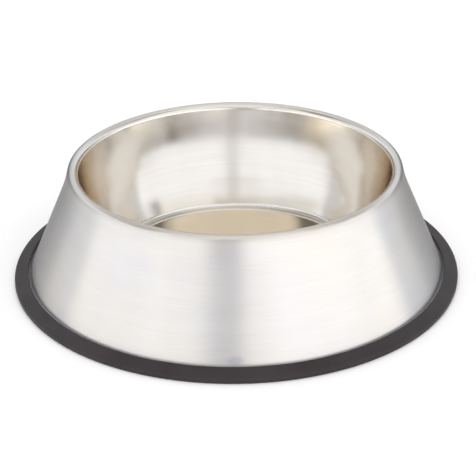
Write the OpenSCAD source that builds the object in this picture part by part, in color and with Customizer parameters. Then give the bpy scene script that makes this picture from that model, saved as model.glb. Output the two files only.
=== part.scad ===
// Non-slip stainless pet bowl: one steel pressing that stands in a rubber ring.
// The bowl, the bend of the rim and the flared skirt are a single sheet, hollow underneath.
// Millimetres. +Z is up, and the origin is the middle of the base, on the table.

/* [Overall] */
// Diameter over the rubber ring, the widest part
ring_d = 280; // [268:1:310]
// Height of the rim's crest above the table
bowl_h = 72.5; // [60:0.5:90]
// Diameter of the rim along its crest
rim_d = 200.8; // [190:0.2:214]

/* [Steel sheet] */
// Thickness of the sheet
sheet_t = 0.6; // [0.4:0.05:0.8]
// Bend radius of the rim's inner half, on the polished side
rim_bend_in = 3.9; // [2.5:0.1:6]
// Bend radius of the rim's outer half
rim_bend_out = 2.8; // [2:0.1:4]
// Width of the flat on the crest, between the two halves
crest_flat = 0.3; // [0.1:0.1:1]

/* [Inner bowl] */
// Lean of the inner wall's upper part from upright, in degrees
wall_draft = 9.9; // [8:0.1:12]
// Lean of the inner wall's lower part from upright, in degrees
lower_draft = 17.3; // [15:0.1:20]
// Height above the table at which the lean changes
belly_h = 31.3; // [28:0.1:36]
// Radius that blends the two leans
belly_bend = 150; // [40:5:180]
// Radius of the corner between the wall and the floor
corner_bend = 3.4; // [2:0.1:6]
// Height of the floor panel above the table
floor_h = 3.5; // [2:0.1:8]
// Drop from the ledge round the floor to the floor panel
step_h = 0.6; // [0.3:0.05:1.5]
// Width of the sloping face of that drop
step_w = 1.2; // [1:0.1:3]
// Bend radius at the two edges of the drop
step_bend = 0.9; // [0.85:0.05:1.2]
// Width of the flat ledge between the corner and the drop
ledge_w = 0.6; // [0.5:0.1:3]

/* [Skirt] */
// Lean of the band under the rim from upright, in degrees
band_lean = 13.9; // [5:0.1:18]
// Height from the crest down to where the band turns into the flare
band_h = 11.5; // [10.5:0.5:20]
// Radius that blends the band into the flare
flare_bend = 80; // [20:5:90]
// Radius of the outward bend at the foot
foot_bend = 2; // [1:0.1:2.5]
// Width of the foot flange, from the flare to its hemmed edge
flange_w = 5; // [4.5:0.1:7]
// Gap inside the folded hem
hem_gap = 0.5; // [0.2:0.1:0.8]
// Width of the leg that is folded back under the flange
hem_w = 3; // [2:0.1:4]

/* [Rubber ring] */
// Width of the ring's section
ring_w = 13; // [11:0.5:18]
// Height of the lip that stands beside the skirt, before its edge is rounded
lip_h = 6.4; // [5.8:0.1:8]
// Height at which the sloping top meets the outer face
shoulder_h = 3.6; // [3:0.1:5]
// Rubber under the hem
jaw_t = 2.1; // [1.5:0.1:2.6]
// Rubber outside the hem
ring_wall = 4.7; // [3.5:0.1:6]
// Distance from the foot of the flare out to the lip
lip_set = 1; // [0.8:0.1:1.4]
// Radius of the bottom edges
ring_edge = 1.1; // [0.3:0.1:1.4]
// Radius of the shoulder
shoulder_bend = 1.6; // [0.5:0.1:1.9]
// Radius of the two edges of the lip
lip_edge = 0.6; // [0.3:0.1:0.7]
// Clearance between the groove and the hem
ring_fit = 0.1; // [0.05:0.05:0.2]

/* [Hidden] */
$fn = 180;
steel_colour = [0.80, 0.80, 0.78];
rubber_colour = [0.15, 0.14, 0.14];
// Facets of a whole circle at a bend
bend_facets = 60;
// How far the tools that round a corner run past its sides
overrun = sheet_t / 4;
// How far a bend's circle cuts past the sides it blends, so that each bend ends in one clean edge
bite = sheet_t / 300;

// The flange and its hem lie in the ring's groove
hem_h = 2 * sheet_t + hem_gap;
flange_z = jaw_t + ring_fit + hem_h;
hem_r = ring_d / 2 - ring_wall - ring_fit;
hem_bend_share = 0.47;
hem_bend = hem_bend_share * hem_h;
foot_r = hem_r - flange_w;

// The wall and the band meet the crest's plane where their bends end at the flat
crest_r = rim_d / 2;
wall_top_r = crest_r - crest_flat / 2 - rim_bend_in * tan((90 - wall_draft) / 2);
band_top_r = crest_r + crest_flat / 2 + rim_bend_out * tan((90 - band_lean) / 2);
flare_top_r = band_top_r + band_h * tan(band_lean);

// The blend into the flare keeps to the straight part of the band above it
band_straight = band_h / cos(band_lean) - rim_bend_out * tan((90 - band_lean) / 2);
flare_lean = atan2(foot_r - flare_top_r, bowl_h - band_h - flange_z);
blend_share = 0.95;
flare_blend = min(flare_bend, blend_share * band_straight / tan(abs(flare_lean - band_lean) / 2));

// The floor panel is sunk inside the ledge that ends the corner's bend
ledge_z = floor_h + step_h;
belly_r = wall_top_r - (bowl_h - belly_h) * tan(wall_draft);
corner_r = belly_r - (belly_h - ledge_z) * tan(lower_draft);
step_r = corner_r - corner_bend * tan((90 - lower_draft) / 2) - ledge_w;

// The lip stands beside the foot of the flare
lip_r = foot_r + lip_set;
ring_in_r = ring_d / 2 - ring_w;

// A corner is [radius, height, bend radius], and a bend radius of 0 leaves it sharp
function at(p) = [p[0], p[1]];
function heading(a, b) = (at(b) - at(a)) / norm(at(b) - at(a));
function left_of(u) = [-u[1], u[0]];
function mitre(m, n) = (m + n) / (1 + m * n);
function turn_at(a, b, c) =
    let (u = heading(a, b), v = heading(b, c))
    atan2(u[0] * v[1] - u[1] * v[0], u * v);

// The other face of a sheet whose shown face lies on the left of the path, from its end back to its start
function hidden_face(path, thickness) =
    let (last = len(path) - 1)
    [
        for (i = [last : -1 : 0])
            let (
                p = path[i],
                before = left_of(heading(path[max(i, 1) - 1], path[max(i, 1)])),
                after = left_of(heading(path[min(i, last - 1)], path[min(i, last - 1) + 1])),
                q = at(p) - thickness * mitre(before, after),
                inside = i > 0 && i < last
            )
            [q[0], q[1], inside ? p[2] + thickness * sign(turn_at(path[i - 1], p, path[i + 1])) : 0]
    ];

// What lies between the sharp corner b and its bend, with an overrun past both sides of the corner
module corner_tip(a, b, c) {
    u = heading(a, b);
    v = heading(b, c);
    angle = turn_at(a, b, c);
    out_u = -sign(angle) * left_of(u);
    out_v = -sign(angle) * left_of(v);
    start = at(b) - b[2] * tan(abs(angle) / 2) * u;
    end = at(b) + b[2] * tan(abs(angle) / 2) * v;
    difference() {
        polygon([
            start,
            start + overrun * out_u,
            at(b) + overrun * mitre(out_u, out_v),
            end + overrun * out_v,
            end
        ]);
        translate(start - b[2] * out_u)
            circle(r = b[2] + bite, $fn = bend_facets);
    }
}

// A closed section swept round the axis, with every corner bent
// turning is 1 for a section that is drawn anticlockwise and -1 for a clockwise one
module revolved_section(corners, turning) {
    n = len(corners);
    module tips(side) {
        for (i = [0 : n - 1]) {
            a = corners[(i + n - 1) % n];
            b = corners[i];
            c = corners[(i + 1) % n];
            if (b[2] > 0 && sign(turn_at(a, b, c)) == side)
                rotate_extrude()
                    corner_tip(a, b, c);
        }
    }
    difference() {
        union() {
            rotate_extrude()
                polygon([for (p = corners) at(p)]);
            tips(-turning);
        }
        tips(turning);
    }
}

// From the middle of the floor up the wall, over the rim, down the skirt and round the hem
bowl_path = [
    [0, floor_h, 0],
    [step_r - step_w, floor_h, step_bend],
    [step_r, ledge_z, step_bend],
    [corner_r, ledge_z, corner_bend],
    [belly_r, belly_h, belly_bend],
    [wall_top_r, bowl_h, rim_bend_in],
    [band_top_r, bowl_h, rim_bend_out],
    [flare_top_r, bowl_h - band_h, flare_blend],
    [foot_r, flange_z, foot_bend],
    [hem_r, flange_z, hem_bend],
    [hem_r, flange_z - hem_h, hem_bend],
    [hem_r - hem_w, flange_z - hem_h, 0]
];

// The ring's section: a C that is open inwards, with a sloping top jaw
ring_path = [
    [ring_in_r, 0, ring_edge / 2],
    [ring_d / 2, 0, ring_edge],
    [ring_d / 2, shoulder_h, shoulder_bend],
    [lip_r, lip_h, lip_edge],
    [lip_r, flange_z + ring_fit, lip_edge],
    [hem_r + ring_fit, flange_z + ring_fit, hem_bend + ring_fit],
    [hem_r + ring_fit, jaw_t, hem_bend + ring_fit],
    [ring_in_r, jaw_t, ring_edge / 2]
];

module steel_bowl() {
    color(steel_colour)
        revolved_section(concat(bowl_path, hidden_face(bowl_path, sheet_t)), -1);
}

module rubber_ring() {
    color(rubber_colour)
        revolved_section(ring_path, 1);
}

steel_bowl();
rubber_ring();
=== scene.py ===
"""A non-slip stainless pet bowl: the looks of its steel bowl and rubber ring, in metres, +Z up.

Both pieces are turned on a lathe from the sizes that the CAD uses, with finer bends and true normals,
because polished steel shows every facet.
"""

import math
from collections import namedtuple

import bpy
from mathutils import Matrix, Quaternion, Vector


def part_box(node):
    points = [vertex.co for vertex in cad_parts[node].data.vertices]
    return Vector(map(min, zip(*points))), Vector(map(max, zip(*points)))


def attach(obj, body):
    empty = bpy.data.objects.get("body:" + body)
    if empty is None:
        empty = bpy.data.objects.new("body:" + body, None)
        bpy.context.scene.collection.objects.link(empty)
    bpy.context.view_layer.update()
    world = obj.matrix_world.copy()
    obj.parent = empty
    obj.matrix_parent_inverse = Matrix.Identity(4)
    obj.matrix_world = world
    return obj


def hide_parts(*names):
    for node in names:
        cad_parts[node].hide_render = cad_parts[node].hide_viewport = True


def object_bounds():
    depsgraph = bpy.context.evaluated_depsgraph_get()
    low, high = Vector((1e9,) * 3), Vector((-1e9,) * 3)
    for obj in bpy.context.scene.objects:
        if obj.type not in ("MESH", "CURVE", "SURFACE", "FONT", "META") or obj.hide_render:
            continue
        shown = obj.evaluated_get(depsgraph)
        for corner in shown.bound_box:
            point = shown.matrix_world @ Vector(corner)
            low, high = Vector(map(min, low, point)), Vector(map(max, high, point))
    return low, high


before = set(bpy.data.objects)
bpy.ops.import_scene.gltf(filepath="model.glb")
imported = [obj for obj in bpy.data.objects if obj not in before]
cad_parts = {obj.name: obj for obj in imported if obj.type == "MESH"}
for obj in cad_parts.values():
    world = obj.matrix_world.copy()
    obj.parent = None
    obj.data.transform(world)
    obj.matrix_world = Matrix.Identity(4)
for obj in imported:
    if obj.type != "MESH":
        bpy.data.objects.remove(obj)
cad_low, cad_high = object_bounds()
ring_low, ring_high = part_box("rubber_ring")

MM = 0.001

# Overall sizes, from the frame
RING_R = min(ring_high.x - ring_low.x, ring_high.y - ring_low.y) / 2
BOWL_H = cad_high.z

# Steel sheet
SHEET_T = 0.6 * MM
CREST_R = 100.4 * MM
CREST_FLAT = 0.3 * MM
RIM_BEND_IN = 3.9 * MM
RIM_BEND_OUT = 2.8 * MM

# Inner bowl
WALL_DRAFT = math.radians(9.9)
LOWER_DRAFT = math.radians(17.3)
BELLY_H = 31.3 * MM
BELLY_BEND = 150 * MM
CORNER_BEND = 3.4 * MM
FLOOR_Z = 3.5 * MM
STEP_H = 0.6 * MM
STEP_W = 1.2 * MM
STEP_BEND = 0.9 * MM
LEDGE_W = 0.6 * MM

# Skirt, and the hem that lies in the ring
BAND_LEAN = math.radians(13.9)
BAND_H = 11.5 * MM
FLARE_BEND = 80 * MM
FOOT_BEND = 2 * MM
FLANGE_W = 5 * MM
HEM_GAP = 0.5 * MM
HEM_W = 3 * MM
HEM_BEND_SHARE = 0.47

# Rubber ring
RING_W = 13 * MM
LIP_H = 6.4 * MM
SHOULDER_H = 3.6 * MM
JAW_T = 2.1 * MM
RING_WALL = 4.7 * MM
LIP_SET = 1 * MM
RING_EDGE = 1.1 * MM
SHOULDER_BEND = 1.6 * MM
LIP_EDGE = 0.6 * MM
RING_FIT = 0.1 * MM

# Worked out as the CAD does
HEM_H = 2 * SHEET_T + HEM_GAP
HEM_BEND = HEM_BEND_SHARE * HEM_H
HEM_R = RING_R - RING_WALL - RING_FIT
FLANGE_Z = JAW_T + RING_FIT + HEM_H
FOOT_R = HEM_R - FLANGE_W
LIP_R = FOOT_R + LIP_SET
WALL_TOP_R = CREST_R - CREST_FLAT / 2 - RIM_BEND_IN * math.tan((math.pi / 2 - WALL_DRAFT) / 2)
BAND_TOP_R = CREST_R + CREST_FLAT / 2 + RIM_BEND_OUT * math.tan((math.pi / 2 - BAND_LEAN) / 2)
FLARE_TOP_R = BAND_TOP_R + BAND_H * math.tan(BAND_LEAN)
LEDGE_Z = FLOOR_Z + STEP_H
BELLY_R = WALL_TOP_R - (BOWL_H - BELLY_H) * math.tan(WALL_DRAFT)
CORNER_R = BELLY_R - (BELLY_H - LEDGE_Z) * math.tan(LOWER_DRAFT)
STEP_R = CORNER_R - CORNER_BEND * math.tan((math.pi / 2 - LOWER_DRAFT) / 2) - LEDGE_W


# Lathe

TURNS = 288
BEND_STEP = math.radians(5)
LEAST_BEND_STEPS = 3
SAME_POINT = 1e-9


def left_of(u):
    return Vector((-u.y, u.x))


def rotated(u, angle):
    return Vector((u.x * math.cos(angle) - u.y * math.sin(angle), u.x * math.sin(angle) + u.y * math.cos(angle)))


def stations(path, closed=False):
    """Points along a path of (radius, height, bend) corners, each with the normal on the path's left."""
    corners = [Vector(p[:2]) for p in path]
    n = len(corners)
    out = []
    for i, (b, (_, _, bend)) in enumerate(zip(corners, path)):
        first, last = not closed and i == 0, not closed and i == n - 1
        u = (b - corners[i - 1]).normalized() if not first else (corners[1] - b).normalized()
        v = (corners[(i + 1) % n] - b).normalized() if not last else u
        if first or last:
            out.append((b, left_of(v)))
            continue
        if bend == 0:
            out += [(b, left_of(u)), (b, left_of(v))]
            continue
        turn = math.atan2(u.x * v.y - u.y * v.x, u.dot(v))
        side = math.copysign(1, turn)
        start = b - u * (bend * math.tan(abs(turn) / 2))
        centre = start + left_of(u) * (side * bend)
        steps = max(LEAST_BEND_STEPS, math.ceil(abs(turn) / BEND_STEP))
        for k in range(steps + 1):
            normal = left_of(rotated(u, turn * k / steps))
            out.append((centre - normal * (side * bend), normal))
    return out


def hidden_side(points, thickness):
    """The stations on the other face of a sheet, from its end back to its start."""
    return [(p - normal * thickness, -normal) for p, normal in reversed(points)]


def on_axis(p):
    return p.x < SAME_POINT


def swung(v, turn):
    """A point or a direction of the section, carried round the axis."""
    angle = 2 * math.pi * turn / TURNS
    return v.x * math.cos(angle), v.x * math.sin(angle), v.y


def lathe(name, sections):
    """A closed solid turned from sections: lists of stations, each with the slot of its faces' material.

    The sections follow each other round one closed loop that starts and ends at the first station.
    """
    loop = [(p, normal, slot) for points, slot in sections for p, normal in points]
    rings, starts, ring_of, verts = [], [], [], []
    for p, _, _ in loop:
        known = [i for i in (len(rings) - 1, 0) if rings and (p - rings[i]).length < SAME_POINT]
        ring_of.append(known[0] if known else len(rings))
        if not known:
            rings.append(p)
            starts.append(len(verts))
            verts += [(0, 0, p.y)] if on_axis(p) else [swung(p, turn) for turn in range(TURNS)]

    def vertex(ring, turn):
        return starts[ring] + (0 if on_axis(rings[ring]) else turn % TURNS)

    faces, slots, normals = [], [], []
    for i, (_, _, slot) in enumerate(loop):
        k = (i + 1) % len(loop)
        a, b = ring_of[i], ring_of[k]
        if a == b or (on_axis(rings[a]) and on_axis(rings[b])):
            continue
        for turn in range(TURNS):
            corners = [(a, turn, i), (b, turn, k), (b, turn + 1, k), (a, turn + 1, i)]
            if on_axis(rings[a]):
                corners.pop()
            if on_axis(rings[b]):
                corners.pop(2)
            faces.append([vertex(ring, t) for ring, t, _ in corners])
            slots.append(slot)
            normals += [swung(loop[station][1], t) for _, t, station in corners]

    mesh = bpy.data.meshes.new(name)
    mesh.from_pydata(verts, [], faces)
    mesh.polygons.foreach_set("use_smooth", [True] * len(faces))
    mesh.polygons.foreach_set("material_index", slots)
    mesh.normals_split_custom_set(normals)
    mesh.update()
    obj = bpy.data.objects.new(name, mesh)
    bpy.context.collection.objects.link(obj)
    return obj


# Nodes

def feed(tree, node, inputs):
    """Fills inputs of a node. Each takes a value, or the output of another node."""
    for key, value in inputs.items():
        if isinstance(value, bpy.types.NodeSocket):
            tree.links.new(value, node.inputs[key])
        else:
            node.inputs[key].default_value = value


def add(tree, kind, inputs=None, **settings):
    node = tree.nodes.new("ShaderNode" + kind)
    for key, value in settings.items():
        setattr(node, key, value)
    feed(tree, node, inputs or {})
    return node


def math_node(tree, operation, *values):
    return add(tree, "Math", dict(enumerate(values)), operation=operation).outputs[0]


def product(tree, *values):
    out = values[0]
    for value in values[1:]:
        out = math_node(tree, "MULTIPLY", out, value)
    return out


def length(tree, a, b):
    return math_node(tree, "SQRT", math_node(tree, "ADD", product(tree, a, a), product(tree, b, b)))


def split(tree, vector):
    return add(tree, "SeparateXYZ", {0: vector}).outputs


def fade(tree, value, start, end, low=0.0, high=1.0):
    """Smoothly from low, where value is start, to high, where it is end."""
    inputs = {"Value": value, "From Min": start, "From Max": end, "To Min": low, "To Max": high}
    return add(tree, "MapRange", inputs, interpolation_type="SMOOTHSTEP").outputs["Result"]


# Where a Mix node has its sockets for colours
MIX_FACTOR, MIX_A, MIX_B = 0, 6, 7
MIX_RESULT = 2


def blend(tree, factor, a, b, mode="MIX"):
    node = add(tree, "Mix", data_type="RGBA", blend_type=mode)
    feed(tree, node, {MIX_FACTOR: factor, MIX_A: a, MIX_B: b})
    return node.outputs[MIX_RESULT]


# How strongly each finer layer of a noise shows
SMOOTH = 0.5
GRAINY = 0.6


def noise(tree, vector, scale, detail=2.0, roughness=SMOOTH):
    inputs = {"Vector": vector, "Scale": scale, "Detail": detail, "Roughness": roughness}
    return add(tree, "TexNoise", inputs).outputs["Fac"]


def vary(tree, value, low=0.0, high=1.0, spread=0.3):
    """Smoothly from low to high, as a noise rises from spread below its middle to spread above it."""
    return fade(tree, value, 0.5 - spread, 0.5 + spread, low, high)


Place = namedtuple("Place", "point radius height away_x away_y")
LEAST_RADIUS = 1 * MM


def turned(tree):
    """Where a point of a turned piece is: with its radius, its height, and a unit vector away from the axis."""
    point = add(tree, "TexCoord").outputs["Object"]
    x, y, z = split(tree, point)
    radius = length(tree, x, y)
    safe = math_node(tree, "MAXIMUM", radius, LEAST_RADIUS)
    return Place(point, radius, z, math_node(tree, "DIVIDE", x, safe), math_node(tree, "DIVIDE", y, safe))


def streaks(tree, place, round_scale, across_scale, detail=3.0):
    """Noise drawn out round the axis, as a lathe or a brush leaves it."""
    across = product(tree, math_node(tree, "SUBTRACT", place.radius, place.height), across_scale)
    vector = add(tree, "CombineXYZ", {0: product(tree, place.away_x, round_scale),
                                      1: product(tree, place.away_y, round_scale), 2: across})
    return noise(tree, vector.outputs[0], 1.0, detail, GRAINY)


# Materials
#
# Scales of noise are per metre. Streaks have two scales: one for the unit circle round the axis, and one per metre
# across it. A relief is the strength and the depth of a bump.

Finish = namedtuple("Finish", "material tree shader")


def new_material(name):
    material = bpy.data.materials.new(name)
    material.use_nodes = True
    tree = material.node_tree
    tree.nodes.clear()
    shader = add(tree, "BsdfPrincipled")
    add(tree, "OutputMaterial", {"Surface": shader.outputs[0]})
    return Finish(material, tree, shader)


def dress(new, colour, roughness, surface, relief):
    """Gives a finish what each has: its colour, its roughness, and its surface in relief."""
    strength, depth = relief
    bump = add(new.tree, "Bump", {"Height": surface, "Strength": strength, "Distance": depth})
    feed(new.tree, new.shader, {"Base Color": colour, "Roughness": roughness, "Normal": bump.outputs[0]})
    return new.material


# Painted shade on the rim, in its colour, and wear in its roughness where it is polished: none on the walls, most
# along its crest
RIM_PAINTED_SHADE = (0.60, 0.576, 0.54, 1)
RIM_SHADE_FROM = BOWL_H - 4.5 * MM
RIM_SHADE_TO = BOWL_H - 1 * MM


def rim_shade_and_wear(tree, place):
    """How much painted shade, and on polished steel wear, the rim has, from 0 to 1."""
    return fade(tree, place.height, RIM_SHADE_FROM, RIM_SHADE_TO)


# A painted reflection, bluish grey, low on the front of the skirt: its middle and half its size are given as x and
# height
PAINTED_REFLECTION_COLOUR = (0.45, 0.48, 0.53, 1)
REFLECTION_MIDDLE = (-1 * MM, 8 * MM)
REFLECTION_HALF = (6 * MM, 3 * MM)
REFLECTION_FADE = (0.3, 1.2)
REFLECTION_STRENGTH = 0.6


def painted_reflection(tree, place):
    """How much of the painted reflection shows, from 0 to its strength. It is an oval with a soft edge."""
    x, y, z = split(tree, place.point)
    off = [math_node(tree, "DIVIDE", math_node(tree, "SUBTRACT", value, middle), half)
           for value, middle, half in zip((x, z), REFLECTION_MIDDLE, REFLECTION_HALF)]
    front = math_node(tree, "LESS_THAN", y, 0.0)
    return product(tree, front, fade(tree, length(tree, *off), *REFLECTION_FADE, REFLECTION_STRENGTH, 0.0))


# How much of its shine each steel keeps where light glances along it
SATIN_AT_A_SLANT = (0.35, 0.35, 0.35, 1)
POLISH_AT_A_SLANT = (0.94, 0.89, 0.83, 1)

SATIN_WARM = (0.692, 0.672, 0.644, 1)
SATIN_COOL = (0.674, 0.663, 0.662, 1)
SATIN_ROUGHNESS = (0.28, 0.36)
SATIN_RELIEF = (0.12, 0.12 * MM)
BRUSH_FINE = (5.0, 1400.0)
BRUSH_FINE_SHADE = 0.035
BRUSH_BROAD = (2.5, 160.0)
BRUSH_BROAD_SHADE = 0.02
BRUSH_STRENGTH = 0.95
BRUSH_TURN = 0.25
SATIN_CLOUD = 22.0
SATIN_CLOUD_SPREAD = 0.15


def satin_steel():
    """Outside of the skirt: brushed round the axis, with painted shade where it turns over at the rim."""
    new = new_material("satin_steel")
    tree, shader = new.tree, new.shader
    place = turned(tree)
    fine = streaks(tree, place, *BRUSH_FINE)
    broad = streaks(tree, place, *BRUSH_BROAD, detail=2.0)
    cloud = noise(tree, place.point, SATIN_CLOUD)
    tint = blend(tree, vary(tree, cloud, spread=SATIN_CLOUD_SPREAD), SATIN_WARM, SATIN_COOL)
    shade = math_node(tree, "ADD", vary(tree, fine, 1 - BRUSH_FINE_SHADE, 1 + BRUSH_FINE_SHADE),
                      vary(tree, broad, -BRUSH_BROAD_SHADE, BRUSH_BROAD_SHADE))
    grey = add(tree, "CombineXYZ", {0: shade, 1: shade, 2: shade}).outputs[0]
    colour = blend(tree, 1.0, tint, grey, "MULTIPLY")
    # A painted reflection, low on the front of the skirt
    colour = blend(tree, painted_reflection(tree, place), colour, PAINTED_REFLECTION_COLOUR)
    # Painted shade along the rim's crest
    colour = blend(tree, rim_shade_and_wear(tree, place), colour, RIM_PAINTED_SHADE)
    along = add(tree, "Tangent", direction_type="RADIAL", axis="Z")
    tree.links.new(along.outputs[0], shader.inputs["Tangent"])
    shader.inputs["Anisotropic"].default_value = BRUSH_STRENGTH
    shader.inputs["Anisotropic Rotation"].default_value = BRUSH_TURN
    shader.inputs["Metallic"].default_value = 1.0
    shader.inputs["Specular Tint"].default_value = SATIN_AT_A_SLANT
    return dress(new, colour, vary(tree, fine, *SATIN_ROUGHNESS), fine, SATIN_RELIEF)


POLISH_DARK = (0.775, 0.742, 0.688, 1)
POLISH_LIGHT = (0.805, 0.772, 0.718, 1)
POLISH_ROUGHNESS = (0.10, 0.15)
POLISH_RELIEF = (0.10, 0.6 * MM)
LATHE_RINGS = (2.0, 700.0)
POLISH_CLOUD = 35.0
POLISH_CLOUD_SPREAD = 0.2
# Painted shade round the floor's edge, over the step and the ledge, where the steel is also rougher
FLOOR_EDGE_PAINTED_SHADE = (0.62, 0.60, 0.56, 1)
FLOOR_EDGE_FROM = (FLOOR_Z + 0.05 * MM, FLOOR_Z + 0.2 * MM)
FLOOR_EDGE_TO = (LEDGE_Z + 1 * MM, LEDGE_Z + 3 * MM)
WORN_ROUGHNESS = 0.16


def polished_steel():
    """Inside of the bowl and the rim: polished, slightly warm, with faint lathe rings; painted shade darkens it round
    the floor's edge and along the rim's crest, and it is rougher there.
    """
    new = new_material("polished_steel")
    tree, shader = new.tree, new.shader
    place = turned(tree)
    rings = streaks(tree, place, *LATHE_RINGS)
    cloud = noise(tree, place.point, POLISH_CLOUD)
    # Round the floor's edge: painted shade in the colour, and rougher steel
    edge = product(tree, fade(tree, place.height, *FLOOR_EDGE_FROM), fade(tree, place.height, *FLOOR_EDGE_TO, 1.0, 0.0))
    colour = blend(tree, vary(tree, rings), POLISH_DARK, POLISH_LIGHT)
    colour = blend(tree, edge, colour, FLOOR_EDGE_PAINTED_SHADE)
    # Painted shade along the rim's crest
    colour = blend(tree, rim_shade_and_wear(tree, place), colour, RIM_PAINTED_SHADE)
    polish = vary(tree, cloud, *POLISH_ROUGHNESS, spread=POLISH_CLOUD_SPREAD)
    worn = product(tree, math_node(tree, "MAXIMUM", rim_shade_and_wear(tree, place), edge), WORN_ROUGHNESS)
    shader.inputs["Metallic"].default_value = 1.0
    shader.inputs["Specular Tint"].default_value = POLISH_AT_A_SLANT
    return dress(new, colour, math_node(tree, "ADD", polish, worn), cloud, POLISH_RELIEF)


MILL_DARK = (0.44, 0.435, 0.425, 1)
MILL_LIGHT = (0.52, 0.515, 0.50, 1)
MILL_ROUGHNESS = (0.36, 0.48)
MILL_RELIEF = (0.1, 0.2 * MM)
DRAWING_MARKS = (3.0, 500.0)
DRAWING_MARKS_SPREAD = 0.25
MILL_GRAIN = 900.0


def mill_steel():
    """Underside of the pressing, as it came from the mill, with the drawing marks left in."""
    new = new_material("mill_steel")
    tree, place = new.tree, turned(new.tree)
    marks = streaks(tree, place, *DRAWING_MARKS)
    grain = noise(tree, place.point, MILL_GRAIN, detail=3.0)
    colour = blend(tree, vary(tree, marks, spread=DRAWING_MARKS_SPREAD), MILL_DARK, MILL_LIGHT)
    new.shader.inputs["Metallic"].default_value = 1.0
    return dress(new, colour, vary(tree, grain, *MILL_ROUGHNESS), grain, MILL_RELIEF)


RUBBER_DARK = (0.031, 0.026, 0.027, 1)
RUBBER_LIGHT = (0.041, 0.035, 0.037, 1)
RUBBER_ROUGHNESS = (0.42, 0.58)
RUBBER_RELIEF = (0.25, 0.1 * MM)
RUBBER_GRAIN = 1500.0
RUBBER_BLOOM = 30.0
RUBBER_BLOOM_SPREAD = 0.2
RUBBER_SPECULAR = 0.2


def black_rubber():
    """The moulded ring: charcoal, matt, with a fine grain and a faint bloom."""
    new = new_material("black_rubber")
    tree, place = new.tree, turned(new.tree)
    grain = noise(tree, place.point, RUBBER_GRAIN, detail=3.0, roughness=GRAINY)
    bloom = noise(tree, place.point, RUBBER_BLOOM, detail=3.0)
    colour = blend(tree, vary(tree, bloom, spread=RUBBER_BLOOM_SPREAD), RUBBER_DARK, RUBBER_LIGHT)
    new.shader.inputs["Specular IOR Level"].default_value = RUBBER_SPECULAR
    return dress(new, colour, vary(tree, grain, *RUBBER_ROUGHNESS), grain, RUBBER_RELIEF)


# Pieces

def steel_bowl():
    inner = stations([
        (0, FLOOR_Z, 0),
        (STEP_R - STEP_W, FLOOR_Z, STEP_BEND),
        (STEP_R, LEDGE_Z, STEP_BEND),
        (CORNER_R, LEDGE_Z, CORNER_BEND),
        (BELLY_R, BELLY_H, BELLY_BEND),
        (WALL_TOP_R, BOWL_H, RIM_BEND_IN),
        (CREST_R, BOWL_H, 0),
    ])
    outer = stations([
        (CREST_R, BOWL_H, 0),
        (BAND_TOP_R, BOWL_H, RIM_BEND_OUT),
        (FLARE_TOP_R, BOWL_H - BAND_H, FLARE_BEND),
        (FOOT_R, FLANGE_Z, FOOT_BEND),
        (HEM_R, FLANGE_Z, HEM_BEND),
        (HEM_R, FLANGE_Z - HEM_H, HEM_BEND),
        (HEM_R - HEM_W, FLANGE_Z - HEM_H, 0),
    ])[1:]
    back = hidden_side(inner + outer, SHEET_T)
    inwards = Vector((-1, 0))
    edge = [(outer[-1][0], inwards), (back[0][0], inwards)]
    polished, satin, mill = range(3)
    bowl = lathe("steel_bowl_finish", [(inner, polished), (outer, satin), (edge, mill), (back, mill)])
    for material in (polished_steel(), satin_steel(), mill_steel()):
        bowl.data.materials.append(material)
    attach(bowl, "root")
    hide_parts("steel_bowl")


def rubber_ring():
    ring_in_r = RING_R - RING_W
    loop = stations([
        (ring_in_r, JAW_T, RING_EDGE / 2),
        (HEM_R + RING_FIT, JAW_T, HEM_BEND + RING_FIT),
        (HEM_R + RING_FIT, FLANGE_Z + RING_FIT, HEM_BEND + RING_FIT),
        (LIP_R, FLANGE_Z + RING_FIT, LIP_EDGE),
        (LIP_R, LIP_H, LIP_EDGE),
        (RING_R, SHOULDER_H, SHOULDER_BEND),
        (RING_R, 0, RING_EDGE),
        (ring_in_r, 0, RING_EDGE / 2),
    ], closed=True)
    ring = lathe("rubber_ring_finish", [(loop, 0)])
    ring.data.materials.append(black_rubber())
    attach(ring, "root")
    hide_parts("rubber_ring")


# Camera, solved from the circles of the photographed bowl: in metres and radians, and its lens in millimetres

CAMERA_DISTANCE = 0.93539
CAMERA_ELEVATION = 0.4864
CAMERA_AIM = Vector((0.0013188, 0, 0.0202048))
CAMERA_ROLL = -0.01103
CAMERA_LENS = 110.767
CAMERA_SENSOR = 36


def camera():
    data = bpy.data.cameras.new("camera")
    data.lens = CAMERA_LENS
    data.sensor_width = CAMERA_SENSOR
    obj = bpy.data.objects.new("camera", data)
    obj.location = CAMERA_DISTANCE * Vector((0, -math.cos(CAMERA_ELEVATION), math.sin(CAMERA_ELEVATION)))
    obj.rotation_mode = "QUATERNION"
    look = (CAMERA_AIM - obj.location).to_track_quat("-Z", "Y")
    obj.rotation_quaternion = look @ Quaternion((0, 0, 1), CAMERA_ROLL)
    bpy.context.collection.objects.link(obj)
    bpy.context.scene.camera = obj


# Studio

FLOOR_SIZE = 6.0
FLOOR_WHITE = (0.97, 0.97, 0.97, 1)

# Tints of the lights
AMBER = (1.10, 1.00, 0.85)
CREAM = (1.04, 1.00, 0.92)
WHITE = (1.00, 1.00, 1.00)
PALE_BLUE = (0.95, 1.00, 1.07)
SKY = (0.93, 1.00, 1.16)

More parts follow.
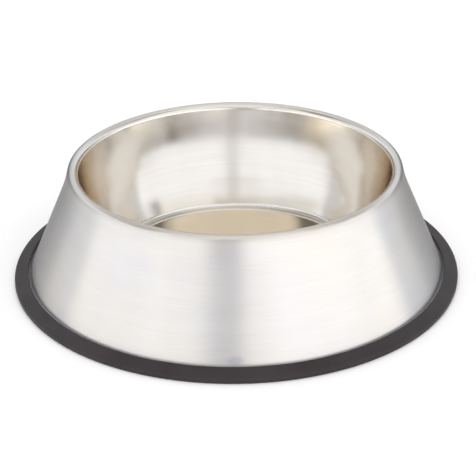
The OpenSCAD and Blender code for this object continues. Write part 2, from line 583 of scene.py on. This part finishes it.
# Soft panels round the bowl. Each has its middle in degrees round from the camera's side towards +X, half its width,
# its lowest and highest edge in degrees up, its strength and its tint. The camera stands in the gap between the low
# windows.
PANELS = [
    ("fill", 0, 200, -100, 100, 0.2, AMBER),
    ("low window, left", -58, 41, -100, 10.5, 2.1, CREAM),
    ("low window, right", 52, 48, -100, 10.5, 2.7, CREAM),
    ("curtain, left", -112, 12, -100, 10.5, 0.9, WHITE),
    ("curtain, right", 112, 12, -100, 10.5, 0.9, PALE_BLUE),
    ("sill, left", -51, 27, 10.5, 17, 0.4, SKY),
    ("sill, right", 38, 36, 10.5, 17, 0.4, AMBER),
    ("window, left", -92, 78, 17, 31, 1.4, SKY),
    ("window, right", 97, 75, 17, 31, 1.4, SKY),
    ("wall behind", 180, 9, 17, 31, 1.0, SKY),
    ("wall behind, low", 180, 18, 7, 14.5, 0.3, AMBER),
    ("card over the camera", 3, 19, 12, 31, 0.8, SKY),
    ("lintel, left", -94, 47, 31, 40, 1.2, PALE_BLUE),
    ("lintel, right", 80, 60, 31, 40, 0.9, PALE_BLUE),
    ("lintel, behind", 180, 40, 31, 40, 0.7, WHITE),
    ("high front", 10, 75, 40, 52, 1.8, WHITE),
    ("high back", 180, 75, 40, 52, 0.5, WHITE),
    ("upper front", 0, 78, 52, 67, 0.7, AMBER),
    ("upper back", 180, 60, 52, 67, 1.2, WHITE),
    ("overhead, front", 25, 90, 67, 83, 1.5, PALE_BLUE),
    ("overhead, back", -155, 90, 67, 83, 0.7, PALE_BLUE),
    ("zenith", 0, 200, 83, 100, 0.8, WHITE),
]
# How far to either side of its edge a panel fades, in degrees round and up
PANEL_EDGE_ROUND = 7
PANEL_EDGE_UP = 2.5


def studio():
    world = bpy.data.worlds.new("studio")
    bpy.context.scene.world = world
    world.use_nodes = True
    tree = world.node_tree
    tree.nodes.clear()
    x, y, z = split(tree, add(tree, "TexCoord").outputs["Generated"])
    turn = math_node(tree, "DEGREES", math_node(tree, "ARCTAN2", x, product(tree, y, -1.0)))
    height = math_node(tree, "DEGREES", math_node(tree, "ARCSINE", z))
    light = (0, 0, 0)
    for _, middle, half, low, high, strength, tint in PANELS:
        off = math_node(tree, "WRAP", math_node(tree, "SUBTRACT", turn, middle), 180, -180)
        off = math_node(tree, "ABSOLUTE", off)
        lit = product(tree, fade(tree, off, half - PANEL_EDGE_ROUND, half + PANEL_EDGE_ROUND, 1.0, 0.0),
                      fade(tree, height, low - PANEL_EDGE_UP, low + PANEL_EDGE_UP),
                      fade(tree, height, high - PANEL_EDGE_UP, high + PANEL_EDGE_UP, 1.0, 0.0))
        colour = [strength * part for part in tint]
        light = add(tree, "VectorMath", {0: lit, 1: colour, 2: light}, operation="MULTIPLY_ADD").outputs[0]
    background = add(tree, "Background", {"Color": light})
    add(tree, "OutputWorld", {"Surface": background.outputs[0]})


def floor():
    mesh = bpy.data.meshes.new("floor")
    s = FLOOR_SIZE / 2
    mesh.from_pydata([(-s, -s, 0), (s, -s, 0), (s, s, 0), (-s, s, 0)], [], [(0, 1, 2, 3)])
    obj = bpy.data.objects.new("floor", mesh)
    bpy.context.collection.objects.link(obj)
    new = new_material("floor")
    feed(new.tree, new.shader, {"Base Color": FLOOR_WHITE, "Roughness": 1.0, "Specular IOR Level": 0.0})
    mesh.materials.append(new.material)


camera()
studio()
floor()
steel_bowl()
rubber_ring()
bpy.context.scene.view_settings.view_transform = "Standard"

# Polished steel mirrors itself many times round the inside of the bowl
GLOSSY_BOUNCES = 8
bpy.context.scene.cycles.glossy_bounces = GLOSSY_BOUNCES
